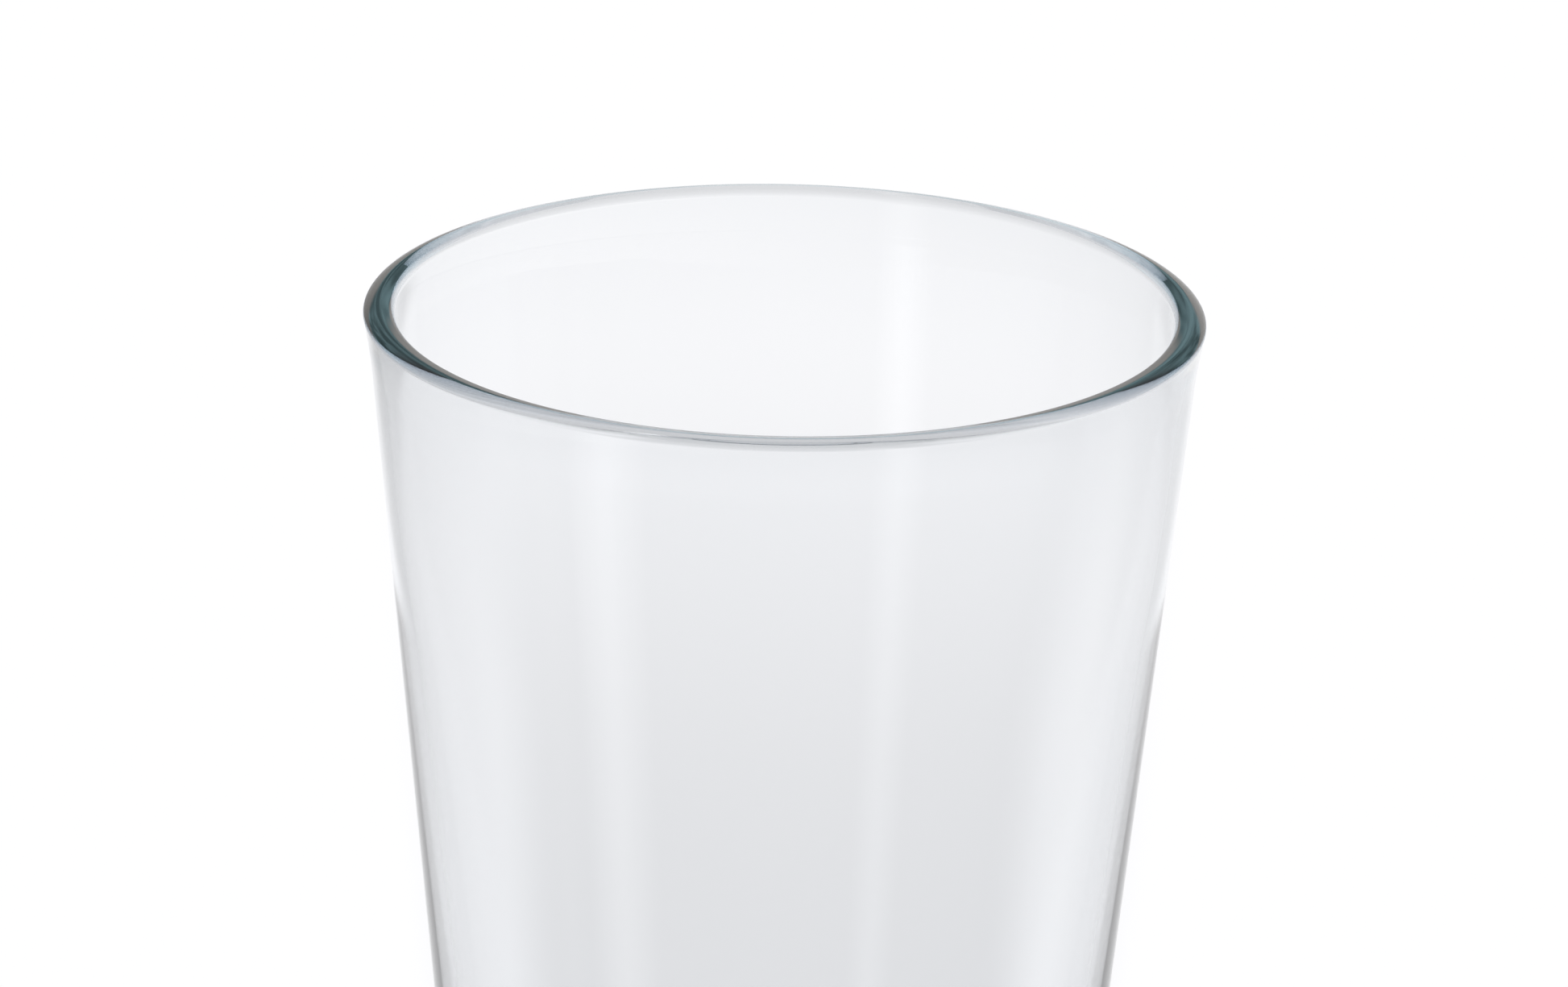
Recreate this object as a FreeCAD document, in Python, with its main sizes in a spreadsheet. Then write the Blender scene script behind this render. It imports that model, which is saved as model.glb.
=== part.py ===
"""Conical pint glass: one blown-and-pressed piece of clear soda-lime glass.

Millimetres, +Z up, origin at the centre of the ring that the glass stands on.
The blank is turned about Z, the bore and the hollow under the foot are grooved
out of it, the corners are rounded, and fine notches are cut round the heel.
"""

import FreeCAD, Part
import os
from math import sqrt

import Sketcher

NODE = "glass_body"
SHEET = "Sizes"
TOLERANCE = 1e-4
AXIS = None
TABLE = None

# Driving dimensions in mm: alias, value, what it measures.
SIZES = [
    ("height", 152.0, "table to the top of the rim"),
    ("mouth_diameter", 89.42, "outside the lip, before its edge is rounded to 88.9"),
    ("foot_diameter", 62.0, "outside, where the cone would meet the table"),
    ("rim_flare", 0.4, "how far that edge stands outside the straight cone"),
    ("flare_length", 8.0, "height of the top band that turns outward"),
    ("lip_width", 3.6, "radial width of the thickened lip, before rounding"),
    ("crown_rise", 0.3, "how far the lip's crown arches between its edges"),
    ("lip_outer_round", 1.4, "radius on the outside edge of the lip"),
    ("lip_inner_round", 0.9, "radius on the inside edge of the lip"),
    ("lip_land", 2.0, "depth at which the lip starts to thin into the wall"),
    ("lip_depth", 34.0, "depth at which the lip has thinned to the wall"),
    ("wall_at_lip", 1.7, "wall thickness where the lip has thinned to the wall"),
    ("wall_at_floor", 2.8, "wall thickness level with the inside floor"),
    ("floor_thickness", 11.0, "glass between the inside floor and the table"),
    ("floor_round", 14.0, "inside corner between floor and wall"),
    ("punt_diameter", 50.0, "hollow under the foot, where it meets the table"),
    ("punt_depth", 2.4, "hollow under the foot, at its centre"),
    ("punt_edge_round", 0.6, "radius between the hollow and the bearing ring"),
    ("heel_round", 2.8, "outside corner at the table"),
    ("notch_count", 72.0, "heel notches, which let a wet glass lift off"),
    ("notch_radius", 0.9, "radius of one notch's round bottom"),
    ("notch_depth", 0.28, "depth of a notch in the bearing ring"),
    ("notch_start", 26.8, "distance from the axis at which the notches begin"),
    ("notch_length", 6.0, "length of the notch cut, out past the heel"),
]

# Sizes that the sheet works out from the ones above.
DERIVED = [
    ("mouth_radius", "=mouth_diameter / 2"),
    ("foot_radius", "=foot_diameter / 2"),
    ("cone_slope", "=(mouth_radius - rim_flare - foot_radius) / height"),
    ("flare_base", "=height - flare_length"),
    ("flare_base_radius", "=foot_radius + cone_slope * flare_base"),
    ("crown_edge", "=height - crown_rise"),
    ("flare_rise", "=crown_edge - flare_base"),
    ("flare_reach", "=mouth_radius - flare_base_radius"),
    ("flare_chord", "=sqrt(flare_rise ^ 2 + flare_reach ^ 2)"),
    ("flare_turn", "=(flare_reach - cone_slope * flare_rise) / sqrt(1 + cone_slope ^ 2)"),
    ("flare_arc", "=flare_chord ^ 2 / (2 * flare_turn)"),
    ("crown_arc", "=(lip_width ^ 2 / 4 + crown_rise ^ 2) / (2 * crown_rise)"),
    ("lip_bore", "=mouth_radius - lip_width"),
    ("land_level", "=height - lip_land"),
    ("wall_top", "=height - lip_depth"),
    ("wall_top_radius", "=foot_radius + cone_slope * wall_top - wall_at_lip"),
    ("floor_corner", "=foot_radius + cone_slope * floor_thickness - wall_at_floor"),
    ("wall_slope", "=(wall_top_radius - floor_corner) / (wall_top - floor_thickness)"),
    ("thinning_rise", "=land_level - wall_top"),
    ("thinning_reach", "=lip_bore - wall_top_radius"),
    ("thinning_chord", "=sqrt(thinning_rise ^ 2 + thinning_reach ^ 2)"),
    ("thinning_drift", "=wall_slope * thinning_rise - thinning_reach"),
    ("thinning_turn", "=thinning_drift / sqrt(1 + wall_slope ^ 2)"),
    ("thinning_arc", "=thinning_chord ^ 2 / (2 * thinning_turn)"),
    ("bore_top", "=height + lip_width"),
    ("punt_radius", "=punt_diameter / 2"),
    ("punt_arc", "=(punt_radius ^ 2 + punt_depth ^ 2) / (2 * punt_depth)"),
]


def make_sheet(doc):
    """Fill the spreadsheet that holds every size, one alias a row."""
    sheet = doc.addObject("Spreadsheet::Sheet", SHEET)
    rows = [(alias, str(value), note) for alias, value, note in SIZES]
    rows += [(alias, formula, "worked out") for alias, formula in DERIVED]
    for row, (alias, content, note) in enumerate(rows, start=1):
        sheet.set(f"A{row}", content)
        sheet.setAlias(f"A{row}", alias)
        sheet.set(f"B{row}", note)
        doc.recompute()
    return sheet


def bind(feature, path, size):
    """Drive one property or constraint of a feature by a cell of the sheet."""
    feature.setExpression(path, f"{SHEET}.{size}")


def origin_feature(body, role):
    """The body's own origin plane or axis of that role, such as XZ_Plane."""
    return next(item for item in body.Origin.OriginFeatures if item.Role == role)


def new_sketch(body, name, role):
    """An empty sketch on one of the body's origin planes."""
    sketch = body.newObject("Sketcher::SketchObject", name)
    sketch.AttachmentSupport = [(origin_feature(body, role), "")]
    sketch.MapMode = "FlatFace"
    return sketch


class Outline:
    """A closed half-section in (radius, height), every corner held to the sheet."""

    def __init__(self, sketch, sheet, start):
        self.sketch = sketch
        self.sheet = sheet
        self.start = start
        self.here = start
        self.drawn = []

    def place(self, corner):
        """The sketch vector of a corner given by the names of its two cells."""
        radius, level = (getattr(self.sheet, name) if name else 0.0 for name in corner)
        return FreeCAD.Vector(radius, level, 0)

    def hold(self, geometry, end, corner):
        """Fix one end of a drawn line or arc to its cells, or to an axis."""
        for kind, axis, name in (("DistanceX", -2, corner[0]), ("DistanceY", -1, corner[1])):
            if name:
                value = getattr(self.sheet, name)
                index = self.sketch.addConstraint(Sketcher.Constraint(kind, geometry, end, value))
                bind(self.sketch, f"Constraints[{index}]", name)
            else:
                held = Sketcher.Constraint("PointOnObject", geometry, end, axis)
                self.sketch.addConstraint(held)

    def line(self, corner):
        """Draw a straight run to the corner."""
        run = Part.LineSegment(self.place(self.here), self.place(corner))
        index = self.sketch.addGeometry(run, False)
        self.hold(index, 1, self.here)
        self.drawn.append((index, 1, 2))
        self.here = corner

    def arc(self, corner, radius_name, bulge):
        """Draw an arc to the corner: bulge is 1 to the right of the run, -1 to the left."""
        start = self.place(self.here)
        chord = self.place(corner) - start
        radius = getattr(self.sheet, radius_name)
        sagitta = radius - sqrt(radius**2 - chord.Length**2 / 4)
        right = FreeCAD.Vector(chord.y, -chord.x, 0).normalize()
        middle = start + chord * 0.5 + right * (bulge * sagitta)
        run = Part.Arc(start, middle, self.place(corner))
        index = self.sketch.addGeometry(run, False)
        first, last = (1, 2) if bulge > 0 else (2, 1)
        self.hold(index, first, self.here)
        held = self.sketch.addConstraint(Sketcher.Constraint("Radius", index, radius))
        bind(self.sketch, f"Constraints[{held}]", radius_name)
        self.drawn.append((index, first, last))
        self.here = corner

    def close(self):
        """Draw the last straight run, join the runs end to end and check the sketch."""
        self.line(self.start)
        for run, following in zip(self.drawn, self.drawn[1:] + self.drawn[:1]):
            joint = Sketcher.Constraint("Coincident", run[0], run[2], following[0], following[1])
            self.sketch.addConstraint(joint)
        if self.sketch.solve() != 0:
            raise RuntimeError(f"{self.sketch.Name} doesn't solve")


def turned(body, kind, name, sketch):
    """A Revolution or Groove of the sketch, a full turn about Z."""
    feature = body.newObject(f"PartDesign::{kind}", name)
    feature.Profile = sketch
    feature.ReferenceAxis = (sketch, ["V_Axis"])
    feature.Angle = 360.0
    sketch.Visibility = False
    return feature


def turn_blank(body, sheet):
    """The outer shape, solid: a straight cone with a slightly flared, arched top."""
    sketch = new_sketch(body, "BlankSection", "XZ_Plane")
    outline = Outline(sketch, sheet, (AXIS, TABLE))
    outline.line(("foot_radius", TABLE))
    outline.line(("flare_base_radius", "flare_base"))
    outline.arc(("mouth_radius", "crown_edge"), "flare_arc", -1)
    outline.arc(("lip_bore", "crown_edge"), "crown_arc", 1)
    outline.line((AXIS, "crown_edge"))
    outline.close()
    return turned(body, "Revolution", "Blank", sketch)


def groove_bore(body, sheet):
    """The room for the drink, whose wall thins slowly below the lip."""
    sketch = new_sketch(body, "BoreSection", "XZ_Plane")
    outline = Outline(sketch, sheet, (AXIS, "floor_thickness"))
    outline.line(("floor_corner", "floor_thickness"))
    outline.line(("wall_top_radius", "wall_top"))
    outline.arc(("lip_bore", "land_level"), "thinning_arc", 1)
    outline.line(("lip_bore", "bore_top"))
    outline.line((AXIS, "bore_top"))
    outline.close()
    return turned(body, "Groove", "Bore", sketch)


def groove_punt(body, sheet):
    """The shallow dome under the foot, which leaves a ring to stand on."""
    sketch = new_sketch(body, "PuntSection", "XZ_Plane")
    outline = Outline(sketch, sheet, (AXIS, TABLE))
    outline.line(("punt_radius", TABLE))
    outline.arc((AXIS, "punt_depth"), "punt_arc", 1)
    outline.close()
    return turned(body, "Groove", "Punt", sketch)


def ring_edge(feature, radius, level):
    """Name of the feature's circular edge about Z at that radius and height."""
    for number, edge in enumerate(feature.Shape.Edges, start=1):
        if edge.Degenerated or not isinstance(edge.Curve, Part.Circle):
            continue
        curve = edge.Curve
        if abs(curve.Radius - radius) < TOLERANCE and abs(curve.Center.z - level) < TOLERANCE:
            return f"Edge{number}"
    raise RuntimeError(f"no ring of radius {radius} at height {level}")


def round_ring(body, sheet, name, corner, size):
    """Round the ring at a corner of the section, given by the names of its cells."""
    base = body.Tip
    radius = getattr(sheet, corner[0])
    level = getattr(sheet, corner[1]) if corner[1] else 0.0
    feature = body.newObject("PartDesign::Fillet", name)
    feature.Base = (base, [ring_edge(base, radius, level)])
    bind(feature, "Radius", size)
    body.Document.recompute()
    return feature


def cut_notches(body, sheet):
    """Fine round-bottomed notches, cut outward from the bearing ring across the heel."""
    sketch = new_sketch(body, "NotchSection", "YZ_Plane")
    bind(sketch, "AttachmentOffset.Base.z", "notch_start")
    centre = FreeCAD.Vector(0, sheet.notch_depth - sheet.notch_radius, 0)
    circle = Part.Circle(centre, FreeCAD.Vector(0, 0, 1), sheet.notch_radius)
    sketch.addGeometry(circle, False)
    sketch.addConstraint(Sketcher.Constraint("PointOnObject", 0, 3, -2))
    radius = sketch.addConstraint(Sketcher.Constraint("Radius", 0, sheet.notch_radius))
    bind(sketch, f"Constraints[{radius}]", "notch_radius")
    drop = sheet.notch_radius - sheet.notch_depth
    depth = sketch.addConstraint(Sketcher.Constraint("DistanceY", 0, 3, -1, 1, drop))
    sketch.setExpression(f"Constraints[{depth}]", f"{SHEET}.notch_radius - {SHEET}.notch_depth")
    body.Document.recompute()
    before = body.Tip.Shape.Volume
    notch = body.newObject("PartDesign::Pocket", "Notch")
    notch.Profile = sketch
    notch.Reversed = True
    bind(notch, "Length", "notch_length")
    body.Document.recompute()
    if notch.Shape.Volume >= before:
        raise RuntimeError("the notch cuts nothing")
    pattern = body.newObject("PartDesign::PolarPattern", "Notches")
    pattern.Originals = [notch]
    pattern.Axis = (origin_feature(body, "Z_Axis"), [""])
    pattern.Angle = 360.0
    bind(pattern, "Occurrences", "notch_count")
    body.Tip = pattern
    body.Document.recompute()
    return pattern


def make_glass_body(doc, sheet):
    """The whole glass, one body."""
    body = doc.addObject("PartDesign::Body", "GlassBody")
    body.Label = NODE
    body.Placement = FreeCAD.Placement()
    turn_blank(body, sheet)
    doc.recompute()
    for groove in (groove_bore, groove_punt):
        before = body.Tip.Shape.Volume
        groove(body, sheet)
        doc.recompute()
        if body.Tip.Shape.Volume >= before:
            raise RuntimeError(f"{body.Tip.Name} cuts nothing")
    round_ring(body, sheet, "FloorRound", ("floor_corner", "floor_thickness"), "floor_round")
    round_ring(body, sheet, "LipInside", ("lip_bore", "crown_edge"), "lip_inner_round")
    round_ring(body, sheet, "LipOutside", ("mouth_radius", "crown_edge"), "lip_outer_round")
    round_ring(body, sheet, "PuntEdge", ("punt_radius", TABLE), "punt_edge_round")
    round_ring(body, sheet, "Heel", ("foot_radius", TABLE), "heel_round")
    cut_notches(body, sheet)
    return body


def check_document(doc):
    """Stop on any object that failed to compute."""
    for item in doc.Objects:
        if "Invalid" in item.State or "Error" in item.State:
            raise RuntimeError(f"{item.Name} failed: {item.State}")


def write_part(body):
    """Check the body's shape and write it as the node's STEP file."""
    shape = body.Shape
    if shape.isNull() or not shape.isValid() or len(shape.Solids) != 1:
        raise RuntimeError(f"{body.Label} isn't one valid solid")
    os.makedirs("parts", exist_ok=True)
    shape.exportStep(f"parts/{body.Label}.step")
    print(f"{body.Label}: {shape.Volume / 1000:.1f} ml of glass, {len(shape.Faces)} faces")


def main():
    doc = FreeCAD.newDocument("PintGlass")
    sheet = make_sheet(doc)
    body = make_glass_body(doc, sheet)
    doc.recompute()
    check_document(doc)
    write_part(body)


main()
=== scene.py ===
"""A conical pint glass of clear soda-lime glass, standing on a white light table.

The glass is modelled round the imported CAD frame: its half-section is drawn from the
hollow of the foot, up the outside, over the lip and down to the inside floor. The
corners are rounded, the section is spun about Z, and the surfaces are given the
slight unevenness of blown glass. All lengths are metres.
"""

import logging
from dataclasses import dataclass, field
from enum import Enum
from math import atan2, cos, hypot, pi, radians, sin, tan
from typing import Callable

import bmesh
import bpy
from mathutils import Matrix, Vector


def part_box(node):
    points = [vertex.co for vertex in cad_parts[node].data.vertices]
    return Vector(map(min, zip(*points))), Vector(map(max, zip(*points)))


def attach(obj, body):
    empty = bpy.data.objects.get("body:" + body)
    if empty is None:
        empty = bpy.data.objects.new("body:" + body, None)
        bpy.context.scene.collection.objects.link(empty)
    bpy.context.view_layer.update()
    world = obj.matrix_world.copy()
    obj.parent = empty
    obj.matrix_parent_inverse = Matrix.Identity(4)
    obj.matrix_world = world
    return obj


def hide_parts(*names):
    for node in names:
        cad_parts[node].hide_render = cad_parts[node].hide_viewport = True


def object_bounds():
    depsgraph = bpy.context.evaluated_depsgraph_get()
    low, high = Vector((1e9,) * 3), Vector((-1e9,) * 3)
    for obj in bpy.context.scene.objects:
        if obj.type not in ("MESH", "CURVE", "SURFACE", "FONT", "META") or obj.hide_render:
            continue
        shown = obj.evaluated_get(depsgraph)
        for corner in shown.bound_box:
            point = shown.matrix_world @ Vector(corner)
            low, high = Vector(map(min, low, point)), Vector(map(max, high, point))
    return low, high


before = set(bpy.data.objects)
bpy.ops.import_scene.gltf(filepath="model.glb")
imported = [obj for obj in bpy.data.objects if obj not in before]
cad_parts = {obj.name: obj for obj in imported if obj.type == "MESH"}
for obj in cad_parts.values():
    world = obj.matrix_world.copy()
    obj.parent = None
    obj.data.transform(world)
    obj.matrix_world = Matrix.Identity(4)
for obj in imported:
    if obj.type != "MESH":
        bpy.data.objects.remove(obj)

CAD_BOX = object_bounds()
NODE = "glass_body"
BODY = "root"
MERGE_GAP = 1e-6

Colour = tuple[float, float, float]
Span = tuple[float, float]
Socket = bpy.types.NodeSocket

log = logging.getLogger("pint_glass")


class Sum(Enum):
    """The arithmetic that the shaders use."""

    ADD = "ADD"
    SUBTRACT = "SUBTRACT"
    MULTIPLY = "MULTIPLY"
    DIVIDE = "DIVIDE"
    MAXIMUM = "MAXIMUM"
    SIZE = "ABSOLUTE"


class Easing(Enum):
    """How a value changes between two ends."""

    STRAIGHT = "LINEAR"
    SMOOTH = "SMOOTHSTEP"


# ---------------------------------------------------------------- workbench


def clear_selection() -> None:
    """Leave edit mode if need be, and deselect every object."""
    if bpy.context.object and bpy.context.object.mode != "OBJECT":
        bpy.ops.object.mode_set(mode="OBJECT")
    bpy.ops.object.select_all(action="DESELECT")


def make_active(piece: bpy.types.Object) -> None:
    """Make one piece the active object and the only selected one."""
    clear_selection()
    piece.select_set(True)
    bpy.context.view_layer.objects.active = piece


def select_points(piece: bpy.types.Object, test: Callable[[Vector], bool]) -> int:
    """Select, in edit mode, the vertices that pass a test of their place.

    Args:
        piece: the object in edit mode.
        test: takes a vertex's place and says whether it is selected.

    Returns:
        How many vertices are now selected.
    """
    bpy.ops.mesh.select_all(action="DESELECT")
    mesh = bmesh.from_edit_mesh(piece.data)
    chosen = [vert for vert in mesh.verts if test(vert.co)]
    for vert in chosen:
        vert.select_set(True)
    mesh.select_flush(True)
    bmesh.update_edit_mesh(piece.data)
    return len(chosen)


class Shading:
    """A small workbench for wiring one node tree."""

    def __init__(self, tree: bpy.types.NodeTree) -> None:
        """Take the tree to be wired."""
        self.tree = tree

    def add(self, kind: str, **settings: str | bool) -> bpy.types.Node:
        """Add one node, and set its named options.

        Args:
            kind: the node's type, without its "ShaderNode" prefix.
            settings: the node's own options, by name.

        Returns:
            The new node.
        """
        node = self.tree.nodes.new("ShaderNode" + kind)
        for name, value in settings.items():
            setattr(node, name, value)
        return node

    def feed(self, socket: Socket, value: Socket | float) -> None:
        """Link a socket, or set it to a plain number."""
        if isinstance(value, bpy.types.NodeSocket):
            self.tree.links.new(value, socket)
        else:
            socket.default_value = value

    def place(self, output: str) -> Socket:
        """One of the coordinate outputs, as a vector."""
        return self.add("TexCoord").outputs[output]

    def axes(self, output: str) -> tuple[Socket, Socket, Socket]:
        """Split one of the coordinate outputs.

        Args:
            output: the coordinate output's name.

        Returns:
            Its X, Y and Z.
        """
        parts = self.add("SeparateXYZ")
        self.feed(parts.inputs["Vector"], self.place(output))
        return parts.outputs["X"], parts.outputs["Y"], parts.outputs["Z"]

    def math(self, operation: Sum, first: Socket | float, second: Socket | float = 0.0) -> Socket:
        """Do one arithmetic step.

        Args:
            operation: what is done.
            first: the first number.
            second: the second number, where the step takes one.

        Returns:
            The result.
        """
        step = self.add("Math", operation=operation.value)
        self.feed(step.inputs[0], first)
        self.feed(step.inputs[1], second)
        return step.outputs["Value"]

    def blend(self, share: Socket, first: Socket | float, second: Socket | float) -> Socket:
        """Mix two numbers.

        Args:
            share: how far the result has gone from the first to the second.
            first: the value where the share is 0.
            second: the value where the share is 1.

        Returns:
            The mixed number.
        """
        step = self.add("Mix")
        self.feed(step.inputs["Factor"], share)
        self.feed(step.inputs["A"], first)
        self.feed(step.inputs["B"], second)
        return step.outputs["Result"]

    def colour_blend(self, share: Socket, first: Socket, second: Socket) -> Socket:
        """Mix two colours, which may be brighter than white.

        Args:
            share: how far the result has gone from the first to the second.
            first: the colour where the share is 0.
            second: the colour where the share is 1.

        Returns:
            The mixed colour.
        """
        step = self.add("Mix", data_type="RGBA", clamp_result=False)
        self.feed(step.inputs["Factor"], share)
        self.feed(step.inputs["A"], first)
        self.feed(step.inputs["B"], second)
        return step.outputs["Result"]

    def glow(self, tint: Colour, strength: Socket) -> Socket:
        """Make a tint as bright as a strength says.

        Args:
            tint: the colour at strength 1.
            strength: how bright it is.

        Returns:
            The tint times the strength.
        """
        step = self.add("VectorMath", operation="SCALE")
        step.inputs["Vector"].default_value = tint
        self.feed(step.inputs["Scale"], strength)
        return step.outputs["Vector"]

    def ramp(self, value: Socket, over: Span, low: float, high: float, easing: Easing) -> Socket:
        """Change from one value to another as a third one crosses a span.

        Args:
            value: what the change follows.
            over: where the change starts and ends.
            low: the result at the start and before it.
            high: the result at the end and after it.
            easing: whether the change is straight or smooth.

        Returns:
            The changing value.
        """
        step = self.add("MapRange", interpolation_type=easing.value)
        self.feed(step.inputs["Value"], value)
        self.feed(step.inputs["From Min"], over[0])
        self.feed(step.inputs["From Max"], over[1])
        self.feed(step.inputs["To Min"], low)
        self.feed(step.inputs["To Max"], high)
        return step.outputs["Result"]

    def ease(self, value: Socket, over: Span, low: float, high: float) -> Socket:
        """A smooth ramp."""
        return self.ramp(value, over, low, high, Easing.SMOOTH)

    def noise(self, scale: float, detail: float, place: Socket) -> bpy.types.Node:
        """Add a noise texture.

        Args:
            scale: how fine the pattern is.
            detail: how many finer layers it has.
            place: the coordinates that it is laid on.

        Returns:
            The texture's node.
        """
        texture = self.add("TexNoise")
        texture.inputs["Scale"].default_value = scale
        texture.inputs["Detail"].default_value = detail
        self.feed(texture.inputs["Vector"], place)
        return texture


# ------------------------------------------------------------- the section


@dataclass(frozen=True)
class Corner:
    """One corner of the half-section, and the round that it is given."""

    radius: float
    level: float
    round: float
    segments: int

    @property
    def place(self) -> Vector:
        """The corner's place in the XZ plane."""
        return Vector((self.radius, 0.0, self.level))


class SectionWire:
    """A half-section drawn as one wire in the XZ plane, corner by corner."""

    seed_size = 0.001

    def __init__(self, name: str, start: Vector) -> None:
        """Start the wire as a single point.

        Args:
            name: what the finished piece is called.
            start: the wire's first point.
        """
        clear_selection()
        bpy.ops.mesh.primitive_plane_add(size=self.seed_size)
        self.piece = bpy.context.object
        self.piece.name = name
        self.piece.data.name = name
        self.here = start
        self.corners: list[Corner] = []
        bpy.ops.object.mode_set(mode="EDIT")
        bpy.ops.mesh.select_mode(type="VERT")
        bpy.ops.mesh.select_all(action="SELECT")
        bpy.ops.mesh.merge(type="CENTER")
        bpy.ops.mesh.select_all(action="SELECT")
        bpy.ops.transform.translate(value=start)

    def run_to(self, place: Vector) -> None:
        """Extrude the wire's end straight to a place."""
        bpy.ops.mesh.extrude_region_move(TRANSFORM_OT_translate={"value": place - self.here})
        self.here = place

    def turn_at(self, corner: Corner) -> None:
        """Run to a corner, and remember it for rounding."""
        self.run_to(corner.place)
        self.corners.append(corner)

    def round_corners(self, after_lip: Vector, before_floor: Vector, end: Vector) -> None:
        """Bevel each remembered corner to an arc of its own radius.

        Args:
            after_lip: the place that the wire runs to after the lip's last corner.
            before_floor: the place that the wire reaches the floor's corner from.
            end: the wire's last point, which follows the floor's corner.
        """
        lip = self.corners[:-1]
        hub = Vector((0.0, 0.0, lip[0].level))
        before = [hub] + [corner.place for corner in lip[:-1]] + [before_floor]
        after = [corner.place for corner in lip[1:]] + [after_lip, end]
        for previous, corner, following in zip(before, self.corners, after):
            arriving = corner.place - previous
            leaving = following - corner.place
            offset = corner.round * tan(arriving.angle(leaving) / 2)
            select_points(self.piece, lambda place: (place - corner.place).length < MERGE_GAP)
            bpy.ops.mesh.bevel(
                offset=offset,
                offset_type="OFFSET",
                segments=corner.segments,
                profile=0.5,
                affect="VERTICES",
                clamp_overlap=False,
            )

    def cut_run(self, first: Vector, last: Vector, cuts: int) -> None:
        """Divide the straight run between two corners into equal lengths.

        Args:
            first: the corner that the run starts near.
            last: the corner that it ends near.
            cuts: how many points are put along it.
        """
        middle = (first + last) / 2
        mesh = bmesh.from_edit_mesh(self.piece.data)
        centre_of = {edge: (edge.verts[0].co + edge.verts[1].co) / 2 for edge in mesh.edges}
        run = min(mesh.edges, key=lambda edge: (centre_of[edge] - middle).length)
        ends = [vert.co.copy() for vert in run.verts]
        select_points(self.piece, lambda place: any((place - end).length < MERGE_GAP for end in ends))
        bpy.ops.mesh.subdivide(number_cuts=cuts)

    def spin(self, steps: int) -> None:
        """Turn the wire a full circle about Z into a closed skin that faces outward.

        Args:
            steps: how many flats the circle has.
        """
        bpy.ops.mesh.select_all(action="SELECT")
        bpy.ops.mesh.spin(steps=steps, angle=2 * pi, center=(0, 0, 0), axis=(0, 0, 1))
        bpy.ops.mesh.select_all(action="SELECT")
        bpy.ops.mesh.remove_doubles(threshold=MERGE_GAP)
        bpy.ops.mesh.normals_make_consistent(inside=False)


# --------------------------------------------------------------- the glass


@dataclass(frozen=True)
class ClearGlass:
    """Clear soda-lime glass, faintly grey-blue in its thickness, worn matt where it stands.

    Its absorbed field says how strongly it takes away red, green and blue, per metre of thickness.
    """

    name: str = "clear_soda_lime_glass"
    ior: float = 1.52
    absorbed: Colour = (26.0, 23.0, 20.0)
    ripple_scale: float = 45.0
    ripple_detail: float = 3.0
    ripple_roughness: float = 0.45
    ripple_stretch: float = 0.12
    ripple_height: float = 0.000012
    wear_level: float = 0.00035
    wear_roughness: float = 0.4
    scuff_scale: float = 900.0
    scuff_detail: float = 4.0

    def make(self) -> bpy.types.Material:
        """Build the node material.

        Returns:
            The glass material, with its surface and its tinted thickness.
        """
        material = bpy.data.materials.new(self.name)
        material.use_nodes = True
        bench = Shading(material.node_tree)
        nodes = material.node_tree.nodes
        surface = nodes["Principled BSDF"]
        surface.inputs["Base Color"].default_value = (1.0, 1.0, 1.0, 1.0)
        surface.inputs["Metallic"].default_value = 0.0
        surface.inputs["Transmission Weight"].default_value = 1.0
        surface.inputs["IOR"].default_value = self.ior
        bench.feed(surface.inputs["Roughness"], self.wear(bench))
        bench.feed(surface.inputs["Normal"], self.ripple(bench))
        thickness = bench.add("VolumeAbsorption")
        density = 2 * max(self.absorbed)
        clear = [1 - share / density for share in self.absorbed]
        thickness.inputs["Color"].default_value = (*clear, 1.0)
        thickness.inputs["Density"].default_value = density
        bench.feed(nodes["Material Output"].inputs["Volume"], thickness.outputs["Volume"])
        return material

    def ripple(self, bench: Shading) -> Socket:
        """Bend the surface in the long upright ripples that blowing leaves in the skin.

        Args:
            bench: the workbench for the glass's node tree.

        Returns:
            The rippled surface's normal.
        """
        stretch = bench.add("Mapping")
        stretch.inputs["Scale"].default_value = (1.0, 1.0, self.ripple_stretch)
        bench.feed(stretch.inputs["Vector"], bench.place("Object"))
        waves = bench.noise(self.ripple_scale, self.ripple_detail, stretch.outputs["Vector"])
        waves.inputs["Roughness"].default_value = self.ripple_roughness
        bump = bench.add("Bump")
        bump.inputs["Strength"].default_value = 1.0
        bump.inputs["Distance"].default_value = self.ripple_height
        bench.feed(bump.inputs["Height"], waves.outputs["Fac"])
        return bump.outputs["Normal"]

    def wear(self, bench: Shading) -> Socket:
        """Scuff the bearing ring, and leave the fire-polished skin bright.

        Args:
            bench: the workbench for the glass's node tree.

        Returns:
            The surface's roughness.
        """
        level = bench.axes("Object")[2]
        near_table = bench.ramp(level, (0.0, self.wear_level), self.wear_roughness, 0.0, Easing.STRAIGHT)
        scuffs = bench.noise(self.scuff_scale, self.scuff_detail, bench.place("Object"))
        return bench.math(Sum.MULTIPLY, near_table, scuffs.outputs["Fac"])


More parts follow.
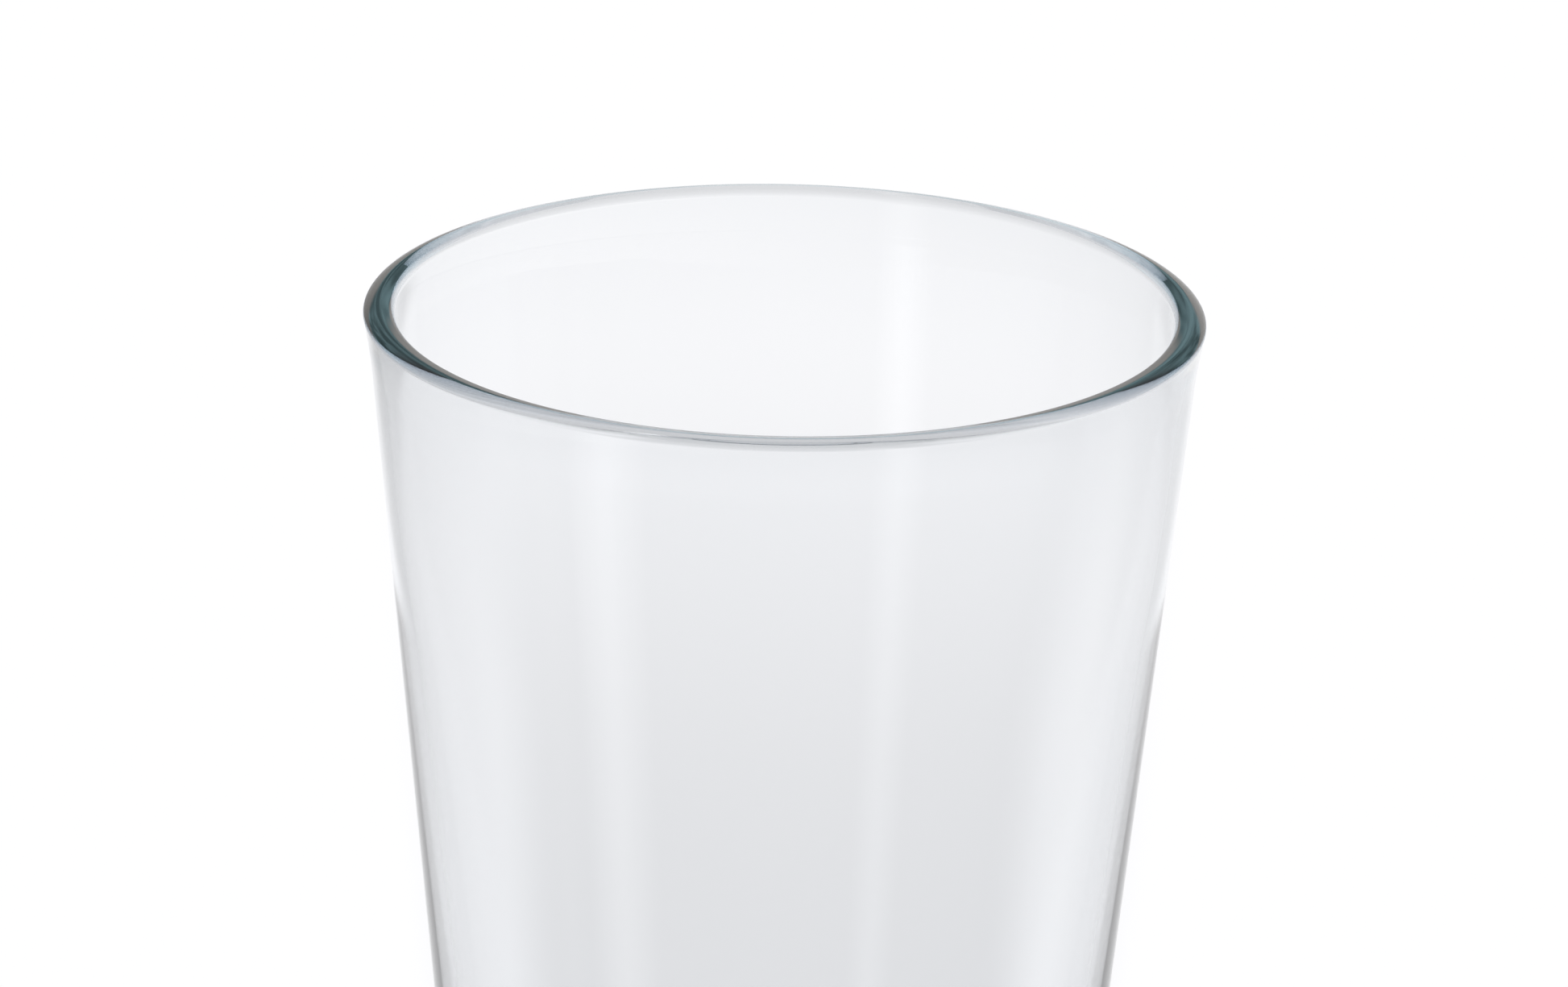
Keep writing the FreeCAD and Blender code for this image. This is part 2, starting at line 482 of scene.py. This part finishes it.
@dataclass
class PintGlass:
    """The glass itself: one blown-and-pressed piece."""

    height: float
    lip_reach: float
    finish: ClearGlass = field(default_factory=ClearGlass)

    lip_tuck: float = 0.00012
    foot_radius: float = 0.0310
    cone_shy: float = 0.0004
    flare_level: float = 0.004
    flare_round: float = 0.055
    lip_width: float = 0.0035
    crown_rise: float = 0.0003
    crown_round: float = 0.0024
    lip_outer_round: float = 0.0014
    lip_inner_round: float = 0.0009
    lip_land: float = 0.0020
    lip_depth: float = 0.0340
    thinning_steps: int = 16
    wall_at_lip: float = 0.0017
    wall_at_floor: float = 0.0028
    floor_thickness: float = 0.011
    floor_round: float = 0.014
    punt_radius: float = 0.025
    punt_depth: float = 0.0024
    punt_steps: int = 10
    punt_edge_round: float = 0.0006
    heel_round: float = 0.0028

    notch_count: int = 72
    steps_per_notch: int = 8
    notch_radius: float = 0.0009
    notch_depth: float = 0.00028
    notch_start: float = 0.0268

    wall_cuts: int = 22
    floor_cuts: int = 7
    ring_cuts: int = 3

    def cone_radius(self, level: float) -> float:
        """Outside radius of the straight cone at a height above the table."""
        top = self.lip_reach + self.lip_tuck - self.cone_shy
        return self.foot_radius + (top - self.foot_radius) * level / self.height

    def outside(self) -> list[Corner]:
        """The corners from the hollow's edge, up the outside and over the lip."""
        lip_edge = self.lip_reach + self.lip_tuck
        crown_edge = self.height - self.crown_rise
        flare = self.height - self.flare_level
        return [
            Corner(self.punt_radius, 0.0, self.punt_edge_round, segments=3),
            Corner(self.foot_radius, 0.0, self.heel_round, segments=10),
            Corner(self.cone_radius(flare), flare, self.flare_round, segments=8),
            Corner(lip_edge, crown_edge, self.lip_outer_round, segments=14),
            Corner(lip_edge - self.lip_width / 2, self.height, self.crown_round, segments=6),
            Corner(lip_edge - self.lip_width, crown_edge, self.lip_inner_round, segments=12),
        ]

    def inside(self) -> Corner:
        """The corner between the inner wall and the floor."""
        floor_edge = self.cone_radius(self.floor_thickness) - self.wall_at_floor
        return Corner(floor_edge, self.floor_thickness, self.floor_round, segments=18)

    def thinning(self) -> list[Vector]:
        """The inner wall from under the lip down to the wall's thin part, as an arc's points.

        Returns:
            The places from the lip's land to the wall's top, in that order.
        """
        wall_top = self.height - self.lip_depth
        foot = Vector((self.cone_radius(wall_top) - self.wall_at_lip, 0.0, wall_top))
        bore = self.lip_reach + self.lip_tuck - self.lip_width
        head = Vector((bore, 0.0, self.height - self.lip_land))
        chord = head - foot
        wall = (foot - self.inside().place).normalized()
        across = Vector((chord.z, 0.0, -chord.x)).normalized()
        bulge = chord.length / 2 * tan(wall.angle(chord) / 2)
        steps = [step / self.thinning_steps for step in range(self.thinning_steps + 1)]
        return [head - chord * share + across * bulge * 4 * share * (1 - share) for share in steps]

    def draw_section(self) -> SectionWire:
        """Draw the half-section as a wire.

        Returns:
            The wire, rounded at its corners and divided along its straight runs.
        """
        dome = (self.punt_radius**2 + self.punt_depth**2) / (2 * self.punt_depth)
        sweep = atan2(self.punt_radius, dome - self.punt_depth)
        wire = SectionWire("pint_glass", Vector((0.0, 0.0, self.punt_depth)))
        for step in range(1, self.punt_steps):
            angle = sweep * step / self.punt_steps
            level = self.punt_depth - dome * (1 - cos(angle))
            wire.run_to(Vector((dome * sin(angle), 0.0, level)))
        corners = self.outside()
        for corner in corners:
            wire.turn_at(corner)
        thinning = self.thinning()
        for place in thinning:
            wire.run_to(place)
        floor_edge = self.inside()
        wire.turn_at(floor_edge)
        floor_middle = Vector((0.0, 0.0, self.floor_thickness))
        wire.run_to(floor_middle)
        wire.round_corners(thinning[0], thinning[-1], floor_middle)
        places = [corner.place for corner in corners]
        wire.cut_run(places[0], places[1], self.ring_cuts)
        wire.cut_run(places[1], places[2], self.wall_cuts)
        wire.cut_run(thinning[-1], floor_edge.place, self.wall_cuts)
        wire.cut_run(floor_middle, (floor_edge.place + floor_middle) / 2, self.floor_cuts)
        return wire

    def cut_notches(self, piece: bpy.types.Object) -> None:
        """Cut the fine round-bottomed notches across the bearing ring and heel.

        Args:
            piece: the spun glass, in edit mode.
        """
        step = 2 * pi / (self.notch_count * self.steps_per_notch)
        half = self.steps_per_notch // 2
        for offset in range(1 - half, half):
            across = self.foot_radius * sin(offset * step)
            if abs(across) >= self.notch_radius:
                continue
            sag = self.notch_radius - (self.notch_radius**2 - across**2) ** 0.5
            level = self.notch_depth - sag
            if level <= 0:
                continue

            def in_notch(place: Vector) -> bool:
                """Whether a vertex is on this line of a notch and below its floor."""
                if place.z >= level or hypot(place.x, place.y) < self.notch_start:
                    return False
                line = round(atan2(place.y, place.x) / step)
                return (line - offset) % self.steps_per_notch == 0

            select_points(piece, in_notch)
            bpy.ops.transform.resize(value=(1.0, 1.0, 0.0), center_override=(0.0, 0.0, level))

    def build(self) -> bpy.types.Object:
        """Model the glass and dress it.

        Returns:
            The finished piece, at the origin, riding on the root body.
        """
        wire = self.draw_section()
        wire.spin(self.notch_count * self.steps_per_notch)
        piece = wire.piece
        self.cut_notches(piece)
        make_active(piece)
        bpy.ops.object.shade_smooth()
        piece.data.materials.append(self.finish.make())
        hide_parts(NODE)
        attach(piece, BODY)
        return piece


# --------------------------------------------------------------- the studio


@dataclass
class LightTable:
    """The pale floor: a large white sheet that glows as if lit from below, in a painted pool of light
    strongest behind the glass.

    The painted bright strip widens away from the glass, and the glass stands at the tip of a soft
    painted shade that fades out behind it. Right is +X and back is +Y.
    """

    half_width: float = 4.0
    squares: int = 8
    drop: float = 0.00005
    tint: Colour = (0.985, 0.985, 1.0)
    side_glow: float = 0.80
    side_rightward: float = 0.24
    side_reach: float = 1.30
    front_glow: float = 0.76
    front_edge: Span = (-0.05, 0.05)
    strip_glow: float = 1.017
    strip_start: float = 0.090
    strip_spread: float = 0.148
    strip_fall: float = 0.07
    strip_edge: Span = (0.03, 0.12)
    shade: float = 0.85
    shade_start: float = 0.035
    shade_spread: float = 0.1143
    shade_length: Span = (0.10, 0.50)
    shade_core: float = 0.70

    def build(self) -> bpy.types.Object:
        """Lay the floor.

        Returns:
            The floor object, marked as part of the stage.
        """
        clear_selection()
        bpy.ops.mesh.primitive_grid_add(
            x_subdivisions=self.squares, y_subdivisions=self.squares, size=2 * self.half_width
        )
        floor = bpy.context.object
        floor.name = "light_table"
        floor.location.z = CAD_BOX[0].z - self.drop
        floor.data.materials.append(self.acrylic())
        return floor

    def acrylic(self) -> bpy.types.Material:
        """White acrylic that glows by itself, with painted light and painted shade in its glow.

        Returns:
            The floor's material.
        """
        material = bpy.data.materials.new("white_acrylic")
        material.use_nodes = True
        material.cycles.emission_sampling = "NONE"
        nodes = material.node_tree.nodes
        nodes.remove(nodes["Principled BSDF"])
        bench = Shading(material.node_tree)
        right, back, _ = bench.axes("Object")
        across = bench.math(Sum.SIZE, right)
        behind = bench.math(Sum.MAXIMUM, back, 0.0)
        # painted light: the glow is lower on the left and in front, and a painted bright strip runs back
        # behind the glass
        aside = self.aside(bench, right, back)
        strip = self.strip(bench, across, behind)
        glow = bench.add("Emission")
        glow.inputs["Color"].default_value = (*self.tint, 1.0)
        bench.feed(glow.inputs["Strength"], bench.blend(self.in_strip(bench, across, behind), aside, strip))
        bench.feed(nodes["Material Output"].inputs["Surface"], glow.outputs["Emission"])
        return material

    def aside(self, bench: Shading, right: Socket, back: Socket) -> Socket:
        """Work out the painted glow away from the strip, which grows slowly from left to right.

        Args:
            bench: the workbench for the floor's node tree.
            right: how far right of the glass a place is.
            back: how far behind the glass it is.

        Returns:
            The glow.
        """
        reach = self.side_reach
        left_glow = self.side_glow - self.side_rightward
        right_glow = self.side_glow + self.side_rightward
        side = bench.ease(right, (-reach, reach), left_glow, right_glow)
        return bench.blend(bench.ease(back, self.front_edge, 1.0, 0.0), side, self.front_glow)

    def strip(self, bench: Shading, across: Socket, behind: Socket) -> Socket:
        """Work out the painted glow of the strip behind the glass, with the painted shade down its middle.

        Args:
            bench: the workbench for the floor's node tree.
            across: how far a place is from the line that runs back from the glass.
            behind: how far behind the glass it is, and 0 in front of it.

        Returns:
            The glow.
        """
        # painted shade: the glow dims in a soft patch where the glass stands, darkest near it and fading
        # out behind
        shaded = bench.ease(behind, self.shade_length, self.shade, self.strip_glow)
        width = widening(bench, behind, self.shade_start, self.shade_spread)
        inside = bench.ease(bench.math(Sum.DIVIDE, across, width), (self.shade_core, 1.0), 1.0, 0.0)
        return bench.blend(inside, self.strip_glow, shaded)

    def in_strip(self, bench: Shading, across: Socket, behind: Socket) -> Socket:
        """Work out how far a place is in the strip.

        Args:
            bench: the workbench for the floor's node tree.
            across: how far the place is from the line that runs back from the glass.
            behind: how far behind the glass it is, and 0 in front of it.

        Returns:
            1 inside the strip, 0 away from it.
        """
        width = widening(bench, behind, self.strip_start, self.strip_spread)
        inside = bench.ease(bench.math(Sum.SUBTRACT, across, width), (0.0, self.strip_fall), 1.0, 0.0)
        return bench.math(Sum.MULTIPLY, inside, bench.ease(behind, self.strip_edge, 0.0, 1.0))


def widening(bench: Shading, behind: Socket, start: float, spread: float) -> Socket:
    """The half-width, at a place behind the glass, of a wedge that widens away from it."""
    return bench.math(Sum.ADD, bench.math(Sum.MULTIPLY, behind, spread), start)


@dataclass
class LightTent:
    """The room: a bright band low round it, a teal panel behind, and a dim ceiling.

    A direction's rightward, backward and upward parts say where in the room it points.
    """

    band_glow: float = 0.86
    band_rightward: float = 0.50
    band_top: float = 14.0
    band_edge: float = 0.03
    band_tint: Colour = (1.0, 0.985, 0.96)
    ceiling_glow: float = 0.36
    zenith_glow: float = 0.03
    ceiling_fall: Span = (0.62, 0.92)
    ceiling_tint: Colour = (0.94, 0.98, 1.04)
    panel_glow: Span = (0.36, 0.92)
    panel_side: Span = (0.65, 0.80)
    panel_front: Span = (0.1, 0.4)
    panel_top: Span = (0.42, 0.55)
    panel_tint: Colour = (0.64, 1.0, 1.09)
    streak_scale: float = 9.0
    streak_detail: float = 2.0
    streak_range: Span = (0.35, 0.65)

    def build(self) -> None:
        """Paint the room into the world."""
        world = bpy.data.worlds.new("light_tent")
        bpy.context.scene.world = world
        world.use_nodes = True
        bench = Shading(world.node_tree)
        right, back, up = bench.axes("Generated")
        band = bench.math(Sum.ADD, bench.math(Sum.MULTIPLY, right, self.band_rightward), self.band_glow)
        ceiling = bench.ease(up, self.ceiling_fall, self.ceiling_glow, self.zenith_glow)
        above = bench.colour_blend(
            self.behind(bench, right, back, up),
            bench.glow(self.ceiling_tint, ceiling),
            bench.glow(self.panel_tint, self.panel(bench)),
        )
        top = sin(radians(self.band_top))
        low = bench.ease(up, (top - self.band_edge, top + self.band_edge), 1.0, 0.0)
        room = bench.colour_blend(low, above, bench.glow(self.band_tint, band))
        bench.feed(world.node_tree.nodes["Background"].inputs["Color"], room)

    def behind(self, bench: Shading, right: Socket, back: Socket, up: Socket) -> Socket:
        """Work out how far a direction points at the panel.

        Args:
            bench: the workbench for the world's node tree.
            right: the direction's rightward part.
            back: its backward part.
            up: its upward part.

        Returns:
            1 at the panel, 0 away from it.
        """
        beside = bench.ease(bench.math(Sum.SIZE, right), self.panel_side, 1.0, 0.0)
        back_half = bench.ease(back, self.panel_front, 0.0, 1.0)
        under_top = bench.ease(up, self.panel_top, 1.0, 0.0)
        return bench.math(Sum.MULTIPLY, beside, bench.math(Sum.MULTIPLY, back_half, under_top))

    def panel(self, bench: Shading) -> Socket:
        """The panel's glow, in soft uneven streaks."""
        streaks = bench.noise(self.streak_scale, self.streak_detail, bench.place("Generated"))
        return bench.ease(streaks.outputs["Fac"], self.streak_range, *self.panel_glow)


@dataclass(frozen=True)
class StripLamp:
    """A slim lamp beside the glass, brightest down its middle, that shows as a soft streak.

    Its azimuth is in degrees, from the front toward the right.
    """

    name: str
    azimuth: float
    glow: float
    colour: Colour = (1.0, 1.0, 1.0)
    reach: float = 0.12
    width: float = 0.040
    tall: float = 0.15
    stand: float = 0.002
    layers: int = 4
    layer_gap: float = 0.001

    def build(self) -> None:
        """Stand the lamp up, facing the glass, as nested sheets of light."""
        turn = radians(self.azimuth)
        for layer in range(1, self.layers + 1):
            width = self.width * layer / self.layers
            reach = self.reach + self.layer_gap * layer
            place = (reach * sin(turn), -reach * cos(turn), self.tall / 2 + self.stand)
            clear_selection()
            bpy.ops.object.light_add(type="AREA", location=place, rotation=(pi / 2, 0.0, turn))
            sheet = bpy.context.object
            sheet.name = f"{self.name}_{layer}"
            sheet.data.shape = "RECTANGLE"
            sheet.data.size = width
            sheet.data.size_y = self.tall
            sheet.data.energy = self.glow / self.layers * pi * width * self.tall
            sheet.data.color = self.colour
            sheet.visible_camera = False


@dataclass
class Studio:
    """Everything round the glass: the table, the lamps and the room."""

    table: LightTable = field(default_factory=LightTable)
    tent: LightTent = field(default_factory=LightTent)
    lamps: tuple[StripLamp, ...] = (
        StripLamp("left_lamp", azimuth=-42.0, glow=0.65),
        StripLamp("side_lamp", azimuth=92.0, glow=0.12, colour=(1.0, 0.97, 0.90)),
    )
    bounces: int = 400

    def build(self) -> None:
        """Set up the table, the lamps and the room."""
        self.table.build()
        for lamp in self.lamps:
            lamp.build()
        self.tent.build()

    def develop(self) -> None:
        """Ask for plain tones, and for light that is followed deep into the glass."""
        scene = bpy.context.scene
        scene.view_settings.view_transform = "Standard"
        scene.view_settings.look = "None"
        scene.cycles.max_bounces = self.bounces
        scene.cycles.transmission_bounces = self.bounces
        scene.cycles.glossy_bounces = self.bounces
        scene.cycles.use_denoising = True


@dataclass(frozen=True)
class Camera:
    """The camera: a long lens that looks down on the lip, a degree out of level."""

    place: tuple[float, float, float] = (0.0003, -0.5216, 0.3225)
    pitch: float = 20.216
    roll: float = 1.150
    lens: float = 119.14
    sensor: float = 36.0

    def build(self) -> bpy.types.Object:
        """Set the camera up and make it the scene's own.

        Returns:
            The camera object.
        """
        clear_selection()
        bpy.ops.object.camera_add(location=self.place)
        camera = bpy.context.object
        camera.name = "camera"
        camera.data.lens = self.lens
        camera.data.sensor_width = self.sensor
        camera.data.sensor_fit = "HORIZONTAL"
        camera.data.dof.use_dof = False
        tilt = Matrix.Rotation(radians(90 - self.pitch), 4, "X")
        level = Matrix.Rotation(radians(self.roll), 4, "Z")
        camera.matrix_world = Matrix.Translation(self.place) @ tilt @ level
        bpy.context.scene.camera = camera
        return camera


def main() -> None:
    """Build the camera, the glass and the studio, in that order."""
    logging.basicConfig(level=logging.INFO, format="%(name)s: %(message)s")
    Camera().build()
    low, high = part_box(NODE)
    glass = PintGlass(height=high.z - low.z, lip_reach=high.x)
    piece = glass.build()
    log.info("piece %s: %d faces", piece.name, len(piece.data.polygons))
    studio = Studio()
    studio.build()
    studio.develop()


if __name__ == "__main__":
    main()
